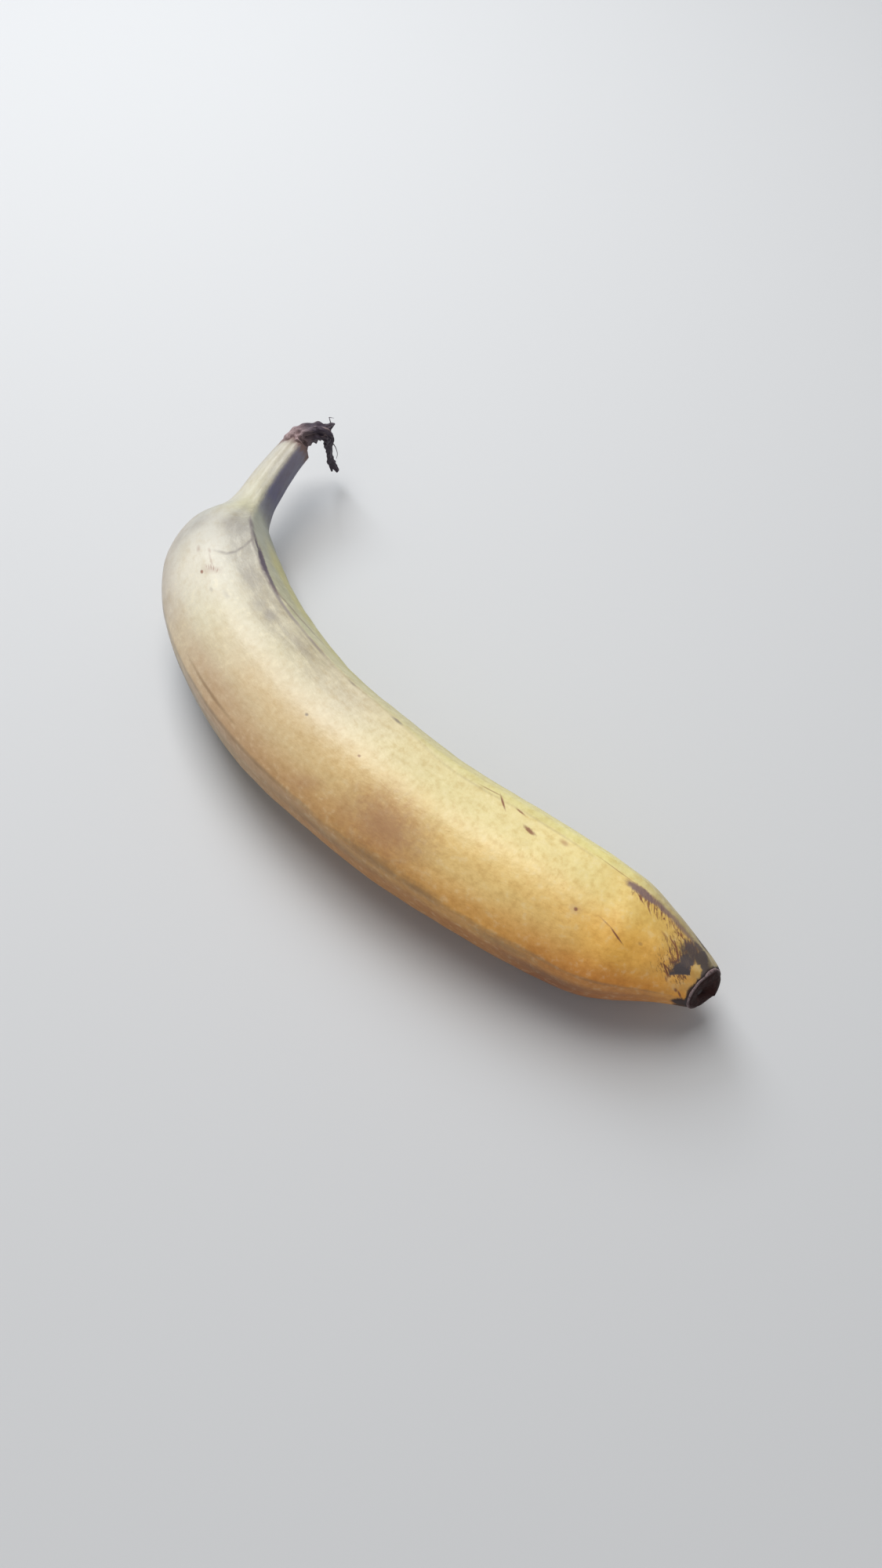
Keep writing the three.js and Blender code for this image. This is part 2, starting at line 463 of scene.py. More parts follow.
@dataclass(frozen=True)
class Value:
    """A number, place or colour in a node tree. Plain arithmetic on it adds Math nodes."""

    graph: "Graph"
    socket: Socket

    def __add__(self, other: "Value | float") -> "Value":
        return self.graph.math("ADD", self, other)

    def __sub__(self, other: "Value | float") -> "Value":
        return self.graph.math("SUBTRACT", self, other)

    def __rsub__(self, other: float) -> "Value":
        return self.graph.math("SUBTRACT", other, self)

    def __mul__(self, other: "Value | float") -> "Value":
        return self.graph.math("MULTIPLY", self, other)

    def __truediv__(self, other: "Value | float") -> "Value":
        return self.graph.math("DIVIDE", self, other)

    def rise(self, start: float, end: float, low: float = 0.0, high: float = 1.0) -> "Value":
        """Eases from low to high as the value goes from start to end."""
        made = self.graph.node("ShaderNodeMapRange", interpolation_type="SMOOTHSTEP")
        keys = ("Value", "From Min", "From Max", "To Min", "To Max")
        for key, item in zip(keys, (self, start, end, low, high)):
            self.graph.feed(made.inputs[key], item)
        return Value(self.graph, made.outputs["Result"])

    def within(self, start: float, full: float, fading: float, end: float) -> "Value":
        """Eases from 0 at start to 1 at full, and from 1 at fading to 0 at end."""
        return self.rise(start, full) * self.rise(end, fading)

    def toward(self, share: "Value", other: "Value | Colour") -> "Value":
        """This colour going to another as the share goes from 0 to 1."""
        return self.graph.blend(share, self, other)

    def dimmed(self, share: "Value", tint: Colour) -> "Value":
        """This colour going to its product with a tint as the share goes from 0 to 1."""
        return self.graph.blend(share, self, tint, "MULTIPLY")


@dataclass
class Graph:
    """A shader or group node tree, with short calls for the nodes used here."""

    tree: bpy.types.NodeTree

    def node(self, kind: str, **settings: object) -> bpy.types.Node:
        """Adds a node and sets its properties."""
        made = self.tree.nodes.new(kind)
        for key, value in settings.items():
            setattr(made, key, value)
        return made

    def feed(self, socket: Socket, value: "Value | float | Sequence[float]") -> None:
        """Links a value to an input, or sets the input's own value."""
        if isinstance(value, Value):
            self.tree.links.new(value.socket, socket)
        elif isinstance(value, (tuple, list)) and socket.type == "RGBA" and len(value) == 3:
            socket.default_value = (*value, 1.0)
        else:
            socket.default_value = value

    def read(self, node: bpy.types.Node, *keys: "str | int") -> tuple[Value, ...]:
        """Several outputs of a node."""
        return tuple(Value(self, node.outputs[key]) for key in keys)

    def math(self, operation: str, *values: "Value | float", clamp: bool = False) -> Value:
        """One Math node."""
        made = self.node("ShaderNodeMath", operation=operation, use_clamp=clamp)
        for socket, value in zip(made.inputs, values):
            self.feed(socket, value)
        return Value(self, made.outputs[0])

    def most(self, masks: Sequence[Value]) -> Value:
        """The largest of several masks."""
        top = masks[0]
        for mask in masks[1:]:
            top = self.math("MAXIMUM", top, mask)
        return top

    def blend(
        self, share: "Value | float", a: "Value | Colour", b: "Value | Colour", how: str = "MIX"
    ) -> Value:
        """Colour a going to colour b as the share goes from 0 to 1."""
        made = self.node("ShaderNodeMix", data_type="RGBA", blend_type=how, clamp_factor=True)
        self.feed(made.inputs["Factor"], share)
        self.feed(made.inputs[6], a)
        self.feed(made.inputs[7], b)
        return Value(self, made.outputs[2])

    def ramp(self, share: Value, stops: Sequence[tuple[float, float, float, float]]) -> Value:
        """A colour ramp along the fruit, straight between each two stops.

        Args:
            share: Distance along as a share of the fruit's length.
            stops: Distance in millimetres, red, green and blue of each stop.

        Returns:
            The colour.
        """
        made = self.node("ShaderNodeValToRGB")
        made.color_ramp.interpolation = "LINEAR"
        elements = made.color_ramp.elements
        while len(elements) < len(stops):
            elements.new(0.5)
        for element, (along, *colour) in zip(elements, stops):
            element.position = along / LENGTH_MM
            element.color = (*colour, 1.0)
        self.feed(made.inputs[0], share)
        return Value(self, made.outputs["Color"])

    def stretched(self, place: Value, scale: Sequence[float]) -> Value:
        """The place scaled along its own three axes."""
        made = self.node("ShaderNodeMapping", vector_type="POINT")
        self.feed(made.inputs["Vector"], place)
        made.inputs["Scale"].default_value = scale
        return Value(self, made.outputs["Vector"])

    def joined(self, *parts: Value) -> Value:
        """A place made of two or three numbers."""
        made = self.node("ShaderNodeCombineXYZ")
        for socket, part in zip(made.inputs, parts):
            self.feed(socket, part)
        return Value(self, made.outputs[0])

    def noise(
        self,
        place: Value,
        scale: "Value | float" = 1.0,
        detail: float = 3.0,
        rough: float = 0.5,
        warp: float = 0.0,
    ) -> Value:
        """Smooth noise between 0 and 1."""
        made = self.node("ShaderNodeTexNoise", noise_dimensions="3D")
        keys = ("Vector", "Scale", "Detail", "Roughness", "Distortion")
        for key, item in zip(keys, (place, scale, detail, rough, warp)):
            self.feed(made.inputs[key], item)
        return Value(self, made.outputs["Fac"])

    def group(self, tree: bpy.types.NodeTree, **values: "Value | float") -> bpy.types.Node:
        """Places a node group and feeds its named inputs."""
        made = self.node("ShaderNodeGroup")
        made.node_tree = tree
        for key, item in values.items():
            self.feed(made.inputs[key], item)
        return made


class Inlet(Enum):
    """Socket kinds of a node group."""

    NUMBER = "NodeSocketFloat"
    VECTOR = "NodeSocketVector"


def new_group(
    name: str, inlets: dict[str, Inlet], outlets: Sequence[str]
) -> tuple[Graph, dict[str, Value], bpy.types.Node]:
    """An empty node group with named inputs, and outputs that are numbers.

    Args:
        name: The group's name.
        inlets: Kind of each input, by name.
        outlets: Name of each output.

    Returns:
        The group's graph, its inputs' values by name, and its output node.
    """
    tree = bpy.data.node_groups.new(name, "ShaderNodeTree")
    for label, kind in inlets.items():
        tree.interface.new_socket(name=label, in_out="INPUT", socket_type=kind.value)
    for label in outlets:
        tree.interface.new_socket(name=label, in_out="OUTPUT", socket_type=Inlet.NUMBER.value)
    graph = Graph(tree)
    source = graph.node("NodeGroupInput")
    read = dict(zip(inlets, graph.read(source, *inlets)))
    return graph, read, graph.node("NodeGroupOutput")


def fibre_grain() -> bpy.types.NodeTree:
    """Streaks that run along the fruit.

    The unbent place is scaled less along than across and read by noise, once broad and once
    fine. Streak is the broad one, Fleck the fine one, Grain their mean, for relief.

    Returns:
        The group, with outputs Streak, Fleck and Grain.
    """
    inlets = {
        "Place": Inlet.VECTOR, "Broad": Inlet.NUMBER, "Fine": Inlet.NUMBER, "Stretch": Inlet.NUMBER,
    }
    graph, read, sink = new_group("Fibre grain", inlets, ("Streak", "Fleck", "Grain"))
    split = graph.node("ShaderNodeSeparateXYZ")
    graph.feed(split.inputs[0], read["Place"])
    x, y, z = graph.read(split, 0, 1, 2)
    place = graph.joined(x / read["Stretch"], y, z)
    streak, fleck = (graph.noise(place, read[key], 4.0, 0.55, 0.3) for key in ("Broad", "Fine"))
    for key, value in (("Streak", streak), ("Fleck", fleck), ("Grain", streak * 0.5 + fleck * 0.5)):
        graph.feed(sink.inputs[key], value)
    return graph.tree


def skin_mark() -> bpy.types.NodeTree:
    """One blemish: a soft ellipse at a place on the skin.

    The place's distances from the middle along and around, in millimetres, are turned by the
    tilt and divided by the half length and half width. The mask falls from 1 to 0 as their
    length, plus the wobble, passes 1.

    Returns:
        The group, with output Mask.
    """
    names = (
        "Along", "Around", "At", "Angle", "Long", "Wide", "Cos", "Sin", "Girth", "Soft", "Wobble",
    )
    graph, read, sink = new_group("Skin mark", dict.fromkeys(names, Inlet.NUMBER), ("Mask",))
    x = read["Along"] - read["At"]
    y = (read["Around"] - read["Angle"]) * read["Girth"]
    far_x = (x * read["Cos"] + y * read["Sin"]) / read["Long"]
    far_y = (y * read["Cos"] - x * read["Sin"]) / read["Wide"]
    away = graph.math("SQRT", far_x * far_x + far_y * far_y) + read["Wobble"]
    fade = graph.math("SUBTRACT", 0.5, (away - 1.0) / read["Soft"] * 0.5, clamp=True)
    graph.feed(sink.inputs["Mask"], fade * fade * (3.0 - fade * 2.0))
    return graph.tree


@dataclass(frozen=True)
class SkinGroups:
    """The node groups that the finishes share."""

    fibre: bpy.types.NodeTree
    mark: bpy.types.NodeTree


@dataclass(frozen=True)
class SkinInputs:
    """A new material: its shader, and where on the skin a point is, as node values."""

    made: bpy.types.Material
    graph: Graph
    shader: bpy.types.Node
    share: Value
    turns: Value
    place: Value
    streak: Value
    fleck: Value
    grain: Value

    @classmethod
    def begin(
        cls, name: str, fibre: bpy.types.NodeTree, broad: float, fine: float, stretch: float
    ) -> "SkinInputs":
        """Starts a material that reads the skin map and the unbent place.

        Args:
            name: The material's name.
            fibre: The group that makes streaks.
            broad: Scale of the broad streaks, for places in metres.
            fine: Scale of the fine ones.
            stretch: How many times longer than wide both are.

        Returns:
            The material's inputs.
        """
        made = bpy.data.materials.new(name)
        made.use_nodes = True
        made.node_tree.nodes.clear()
        graph = Graph(made.node_tree)
        shader = graph.node("ShaderNodeBsdfPrincipled")
        out = graph.node("ShaderNodeOutputMaterial")
        graph.feed(out.inputs["Surface"], Value(graph, shader.outputs[0]))
        split = graph.node("ShaderNodeSeparateXYZ")
        skin = graph.node("ShaderNodeUVMap", uv_map=SKIN_MAP)
        graph.feed(split.inputs[0], Value(graph, skin.outputs[0]))
        (place,) = graph.read(graph.node("ShaderNodeAttribute", attribute_name=STRAIGHT), "Vector")
        grain = graph.group(fibre, Place=place, Broad=broad, Fine=fine, Stretch=stretch)
        streaks = graph.read(grain, "Streak", "Fleck", "Grain")
        return cls(made, graph, shader, *graph.read(split, 0, 1), place, *streaks)

    def close(
        self, colour: Value, roughness: Value, gloss: float, relief: Value, depth: float
    ) -> bpy.types.Material:
        """Feeds the shader.

        Args:
            colour: Base colour.
            roughness: Roughness.
            gloss: Specular level.
            relief: Height of the fine relief, between 0 and 1.
            depth: How strongly the relief shows.

        Returns:
            The material.
        """
        bump = self.graph.node("ShaderNodeBump")
        bump.inputs["Strength"].default_value = depth
        bump.inputs["Distance"].default_value = RELIEF_HEIGHT
        self.graph.feed(bump.inputs["Height"], relief)
        self.graph.feed(self.shader.inputs["Base Color"], colour)
        self.graph.feed(self.shader.inputs["Roughness"], roughness)
        self.graph.feed(self.shader.inputs["Specular IOR Level"], gloss)
        self.graph.feed(self.shader.inputs["Normal"], Value(self.graph, bump.outputs[0]))
        return self.made


# ---- finishes ---------------------------------------------------------------------------


class Lane(Enum):
    """A strip of the peel that runs along the fruit and has its own row of colours."""

    TOP = "top"
    UPPER_FLANK = "upper flank"
    LOWER_FLANK = "lower flank"
    UNDER = "underside"
    INNER = "inside of the bend"


# distance along in millimetres, red, green, blue
LANES: dict[Lane, tuple[tuple[float, float, float, float], ...]] = {
    # the pale grey-cream of the shoulder, 45 to 80 mm, is partly the peel's paler tone and partly
    # painted sheen
    Lane.TOP: (
        (0, 0.48, 0.44, 0.37), (32, 0.58, 0.56, 0.40), (45, 0.52, 0.50, 0.44),
        (60, 0.61, 0.58, 0.49), (100, 0.61, 0.55, 0.38), (120, 0.69, 0.61, 0.43),
        (140, 0.74, 0.64, 0.37), (160, 0.73, 0.63, 0.32), (185, 0.87, 0.73, 0.35),
        (200, 0.83, 0.68, 0.29), (212, 0.80, 0.53, 0.14), (226, 0.66, 0.42, 0.12),
    ),
    # the pale grey-cream of the shoulder, 45 to 80 mm, is partly the peel's paler tone and partly
    # painted sheen
    Lane.UPPER_FLANK: (
        (0, 0.50, 0.48, 0.43), (20, 0.61, 0.58, 0.47), (32, 0.42, 0.415, 0.36),
        (45, 0.47, 0.46, 0.42), (60, 0.71, 0.67, 0.57), (80, 0.72, 0.66, 0.49),
        (100, 0.71, 0.56, 0.35), (140, 0.74, 0.52, 0.23), (180, 0.90, 0.63, 0.235),
        (200, 0.91, 0.57, 0.17), (212, 0.95, 0.52, 0.10), (226, 0.86, 0.46, 0.11),
    ),
    Lane.LOWER_FLANK: (
        (0, 0.46, 0.44, 0.41), (20, 0.52, 0.49, 0.42), (32, 0.42, 0.40, 0.36),
        (60, 0.55, 0.49, 0.41), (80, 0.63, 0.51, 0.35), (100, 0.60, 0.40, 0.23),
        (140, 0.64, 0.36, 0.13), (180, 0.79, 0.41, 0.10), (200, 0.70, 0.30, 0.06),
        (212, 0.69, 0.28, 0.05), (226, 0.86, 0.40, 0.07),
    ),
    Lane.UNDER: (
        # the dark grey stop at 70 mm is painted shade from the edge of the fruit's shadow
        (0, 0.46, 0.42, 0.37), (45, 0.54, 0.48, 0.38), (70, 0.24, 0.23, 0.215),
        (100, 0.49, 0.34, 0.18), (140, 0.59, 0.29, 0.09), (180, 0.51, 0.21, 0.045),
        (200, 0.34, 0.115, 0.025), (212, 0.56, 0.20, 0.035), (226, 0.80, 0.34, 0.045),
    ),
    Lane.INNER: (
        # the dark blue-mauve stops at 0 and 20 mm are painted shade, with painted bluish bounce
        # light, on the stem's inner flank
        (0, 0.22, 0.20, 0.26), (20, 0.16, 0.155, 0.24), (34, 0.33, 0.34, 0.28),
        (60, 0.38, 0.38, 0.29), (80, 0.42, 0.41, 0.27), (100, 0.54, 0.51, 0.31),
        # the darker stops at 214 and 226 mm are painted shade where this lane meets the fruit's
        # outline near the button
        (140, 0.63, 0.57, 0.30), (200, 0.83, 0.75, 0.32), (214, 0.56, 0.46, 0.22),
        (226, 0.42, 0.33, 0.16),
    ),
}


class Stain(Enum):
    """What a blemish on the peel is made of, in the order they are laid on."""

    SCAR = "dark purple-brown scar"
    SPECK = "red-brown speck or scratch"
    GREY = "grey rubbed smudge"
    BRUISE = "soft brown bruise"
    WORN = "brown worn line or patch"
    RUBBED = "grey-purple worn band"
    DRIED = "dark dried patch by the button"
    CHARRED = "nearly black red-brown edge of the button"


STAIN_COLOURS: dict[Stain, Colour] = {
    Stain.SCAR: (0.105, 0.08, 0.105),
    Stain.SPECK: (0.225, 0.072, 0.042),
    Stain.GREY: (0.27, 0.24, 0.215),
    Stain.BRUISE: (0.41, 0.195, 0.10),
    Stain.WORN: (0.26, 0.155, 0.075),
    Stain.RUBBED: (0.215, 0.135, 0.128),
    Stain.DRIED: (0.09, 0.072, 0.075),
    Stain.CHARRED: (0.045, 0.02, 0.016),
}
ROUGH_STAINS = (Stain.SCAR, Stain.DRIED, Stain.CHARRED, Stain.RUBBED)


@dataclass(frozen=True)
class Blemish:
    """A mark on the peel: its middle, half sizes in millimetres, tilt and softness."""

    along: float
    angle: float
    long: float
    wide: float
    tilt: float = 0.0
    soft: float = 0.35
    strength: float = 1.0
    wobble: float = 0.5


# one row of a blemish's fields each, in their order
MARKS: dict[Stain, tuple[tuple[float, ...], ...]] = {
    Stain.SCAR: (
        # the lens on the inner ridge, and the worn line that it lies on
        (62.6, 127.5, 8, 1.05, -4, 0.35, 1, 0.3), (54, 127.2, 4.2, 0.45, 2, 0.6, 0.9, 0.2),
        (69.5, 126, 10, 0.62, -2, 0.5, 0.9, 0.3), (42.3, 125, 3.3, 0.7, 6, 0.8, 0.6, 0.5),
        (48.6, 126.4, 4.2, 0.55, 3, 0.8, 0.7, 0.4),
        # dots of the body
        (118.6, 77.6, 0.45, 0.38, 10, 0.6, 0.6), (135, 123, 1.5, 0.4, 0, 0.8, 0.6),
        (118.4, 124, 1.2, 0.3, 0, 0.8, 0.4),
        # the far side
        (146, 231, 3.2, 0.5, 12, 0.6, 0.7, 0.3),
    ),
    Stain.SPECK: (
        # the shoulder
        (63.3, 72.2, 0.62, 0.4, 0, 0.6, 0.85), (62.2, 77.5, 0.7, 0.15, 0, 0.8, 0.45),
        (62.9, 79.4, 1, 0.16, -6, 0.8, 0.55), (63.2, 81.2, 1.15, 0.18, -6, 0.8, 0.65),
        (63.8, 83, 1, 0.2, -14, 0.8, 0.65), (64.9, 85.8, 0.9, 0.2, -25, 0.8, 0.55),
        (63.9, 81.5, 2.4, 1.1, 55, 1, 0.32, 0.8), (60.8, 82.6, 2.6, 0.24, 3, 1, 0.32),
        (56.5, 82.6, 0.8, 0.35, 10, 0.9, 0.35), (54.7, 72, 1, 0.45, 0, 0.9, 0.3),
        # dots, the oval scar and the scratches of the body
        (136, 79, 0.4, 0.35, 0, 0.6, 0.65), (179.2, 106.3, 1.7, 0.58, -13, 0.5, 0.85, 0.6),
        (197.5, 69.5, 0.45, 0.42, 0, 0.5, 0.9), (204.6, 72.2, 1.7, 0.15, -17, 0.8, 0.45, 0.2),
        (207.9, 66.6, 2.1, 0.2, -29, 0.5, 0.95, 0.2),
        (213.2, 70.8, 0.45, 0.35, 0, 0.8, 0.4, 0.3),
        (165.9, 120.5, 2.7, 0.16, 3, 0.7, 0.6, 0.3),
        (170, 116.5, 2.1, 0.24, -43, 0.6, 0.9, 0.3),
        (174.9, 116.8, 1.3, 0.26, -12, 0.6, 0.8, 0.4),
        # the cracks that branch from the band, and those before the dried patches
        (200.6, 118.6, 4.2, 0.13, -2, 0.8, 0.5, 0.2),
        (208.3, 109.4, 1.5, 0.17, -25, 0.6, 0.8, 0.3),
        (211, 106.8, 1.3, 0.2, -40, 0.6, 0.75, 0.3),
        (213.3, 107.2, 0.75, 0.2, -42, 0.6, 0.6, 0.3),
        (217.2, 113.6, 1.3, 0.18, -25, 0.6, 0.6, 0.3),
        (219.8, 111.2, 1.8, 0.16, -8, 0.6, 0.65, 0.3),
        (221.8, 107, 1.2, 0.28, -40, 0.6, 0.7, 0.4),
        (216.8, 95.4, 0.9, 0.28, -15, 0.8, 0.5, 0.4),
        (219.3, 95, 1.4, 0.24, -19, 0.6, 0.85, 0.4),
        (221, 87.5, 1.3, 0.26, -57, 0.6, 0.85, 0.4), (221.5, 76, 0.9, 0.24, 60, 0.6, 0.8, 0.4),
        (220.3, 61.8, 1.1, 0.2, -20, 0.6, 0.8, 0.3),
        (221, 53.8, 1.1, 0.28, -48, 0.6, 0.85, 0.4),
        (221.4, 45.5, 0.75, 0.24, -55, 0.7, 0.6, 0.4),
        (218.4, 88, 0.9, 0.16, -45, 0.8, 0.4, 0.3), (219.4, 83, 0.8, 0.16, -50, 0.8, 0.4, 0.3),
        (219.8, 74, 0.8, 0.15, -50, 0.8, 0.35, 0.3),
        (224.3, 33.5, 0.5, 0.3, -50, 0.6, 0.8, 0.3),
        (225.4, 28.2, 0.85, 0.2, -45, 0.6, 0.9, 0.3),
        # the far side
        (84, 214, 1.3, 0.6, 20, 0.6, 0.6), (121, 176, 0.8, 0.6, 0, 0.6, 0.6),
    ),
    Stain.GREY: (
        # the crease across the shoulder
        (53.1, 121, 2.9, 0.42, -31, 0.8, 0.85, 0.3),
        (56.9, 111.2, 2.1, 0.4, -46, 0.8, 0.85, 0.3),
        (58.5, 102.3, 1.7, 0.5, -77, 0.9, 0.8, 0.3), (58.1, 94.3, 1.6, 0.52, 59, 1, 0.65, 0.3),
        (57.1, 88.6, 1.1, 0.36, 56, 1, 0.3, 0.3),
        # smudges of the neck and the shoulder
        (44.5, 102.5, 3.4, 2.2, 0, 1, 0.5, 0.8), (44.2, 60, 2.6, 3, 0, 1, 0.42, 0.8),
        (47, 39, 3, 1.6, 0, 1, 0.25, 0.8), (70.2, 112, 4.6, 1.8, 0, 1, 0.45, 0.9),
        (81.2, 106, 2.6, 1.6, 0, 1, 0.42, 0.9), (86, 109, 2.2, 1.5, 0, 0.9, 0.6, 0.9),
        (99, 115, 4.2, 1.3, 0, 1, 0.45, 0.9),
        # rubs on the shoulder
        (74.5, 85, 1.3, 0.6, 0, 0.9, 0.35, 0.9), (70.8, 75, 0.7, 0.4, 0, 0.9, 0.35),
        # the far side
        (108, 197, 16, 0.6, 0, 0.8, 0.6, 0.5),
    ),
    Stain.BRUISE: (
        # round the largest dots
        (197.6, 69.5, 1.1, 0.9, 0, 1, 0.35), (187.5, 113, 1, 0.6, 0, 0.9, 0.55, 0.6),
        # the flank
        (151, 49, 9, 6, 0, 1, 0.75, 0.7), (142.5, 43, 5, 4, 0, 1, 0.4, 0.8),
        (154.5, 36, 6, 3, 0, 1, 0.4, 0.8), (149, 64, 4.5, 3, 20, 1, 0.35, 0.7),
        (129, 38, 4, 1.6, 30, 1, 0.35, 0.5), (92, 42, 16, 3, 0, 1, 0.22, 0.6),
        # the far side
        (176, 205, 8, 4, 0, 1, 0.5, 0.6),
    ),
    Stain.WORN: (
        # lines and patches beside the outer ridge
        (94, 31.6, 8.5, 0.4, 1, 0.8, 0.6, 0.4), (104, 22.6, 14, 0.5, 0, 0.9, 0.35, 0.5),
        (152.5, 22, 6, 1.4, 0, 1, 0.5, 0.9), (164, 22, 5, 1.2, 0, 1, 0.5, 0.9),
        (186, 16, 7, 1.4, 0, 1, 0.5, 0.9), (138, 9, 15, 1.6, 0, 1, 0.4, 0.6),
        (200, 4, 12, 1.8, 0, 1, 0.35, 0.6),
    ),
    Stain.RUBBED: (
        # a rub on the inside of the bend
        (87, 132.6, 11, 0.5, 13, 0.8, 0.55, 0.5),
        # the band on the inner ridge
        (207.9, 115.4, 4.4, 0.98, 3, 0.35, 0.95, 0.5),
        (213.6, 118.6, 3.8, 0.72, 4, 0.5, 0.85, 0.6), (219.2, 119.8, 4, 0.6, 2, 0.7, 0.75, 0.9),
    ),
    Stain.DRIED: (
        # round the button
        (223.7, 88, 1.9, 2.3, -8, 0.3, 0.95, 0.8), (223.6, 68.5, 2.7, 1.9, 24, 0.25, 1, 0.6),
        (222.6, 56.5, 1.3, 1.1, 0, 0.3, 0.95, 0.7), (223.4, 106, 2.1, 2.1, -30, 0.5, 0.9, 1.2),
        (226.6, 112, 2.6, 1.7, -6, 0.35, 0.95, 0.7),
        (228.2, 103, 0.95, 2.2, 0, 0.35, 0.95, 0.5),
        (224.8, 119.5, 2.4, 0.7, 0, 0.5, 0.85, 0.9), (226.4, 190, 3, 2.2, 0, 0.5, 0.95, 0.9),
        (224.4, 152, 2, 1.2, 0, 0.5, 0.8, 0.9), (224.8, 262, 1.8, 1.2, 0, 0.5, 0.85, 0.9),
    ),
    Stain.CHARRED: (
        # against the rim
        (227.4, 42, 0.85, 2, 0, 0.3, 0.95, 0.4), (226.7, 5, 2.3, 2.2, 0, 0.2, 1, 0.4),
        (226.9, -18, 1.9, 1.7, 0, 0.3, 0.95, 0.7), (227.2, 232, 1.8, 2.4, 0, 0.4, 0.95, 0.9),
    ),
}


@dataclass(frozen=True)
class WornLine:
    """A worn line along a ridge: angle, half width in degrees, stretch and strength."""

    angle: float
    width: float
    first: float
    last: float
    strength: float


INNER_RIDGE = 124.0
WORN_LINES = (
    WornLine(INNER_RIDGE, 2.4, 30.0, 112.0, 0.85),
    WornLine(INNER_RIDGE, 1.8, 100.0, 196.0, 0.22),
    WornLine(22.0, 2.6, 70.0, 222.0, 0.28),
    WornLine(198.0, 1.5, 30.0, 222.0, 0.7),
    WornLine(-68.0, 1.8, 60.0, 222.0, 0.5),
)


@dataclass(frozen=True)
class PeelInputs:
    """What the peel's layers read: the place in millimetres and degrees, and the noises.

    Fields:
        skin: The material's own inputs.
        along: Distance from the stem's broken end.
        around: Angle round the section.
        side: The same, wandering a little.
        drawn: How far the inner ridge drifts round, in degrees.
        rougher: Grows towards the blossom end, where the skin is more mottled.
        cloud: Very broad noise.
        patch: Broad noise.
        speckle: Very fine noise.
        edge: Fine noise about 0, which roughens outlines.
    """

    skin: SkinInputs
    along: Value
    around: Value
    side: Value
    drawn: Value
    rougher: Value
    cloud: Value
    patch: Value
    speckle: Value
    edge: Value

    @classmethod
    def of(cls, skin: SkinInputs) -> "PeelInputs":
        """Adds the peel's noises to a material's inputs."""
        noise = skin.graph.noise
        along = skin.share * LENGTH_MM
        around = skin.turns * 360.0 - 90.0
        cloud = noise(skin.place, 42.0, 3.0, 0.55, 0.4)
        patch = noise(skin.place, 115.0, 4.0, 0.6, 0.5)
        return cls(
            skin=skin,
            along=along,
            around=around,
            side=around + (patch - 0.5) * 14.0,
            drawn=along.rise(125.0, 158.0, 0.0, 6.5),
            rougher=along.rise(70.0, 170.0, 0.45, 1.0),
            cloud=cloud,
            patch=patch,
            speckle=noise(skin.place, 1500.0, 2.0, 0.6),
            edge=noise(skin.place, 620.0, 4.0, 0.65, 0.6) - 0.5,
        )


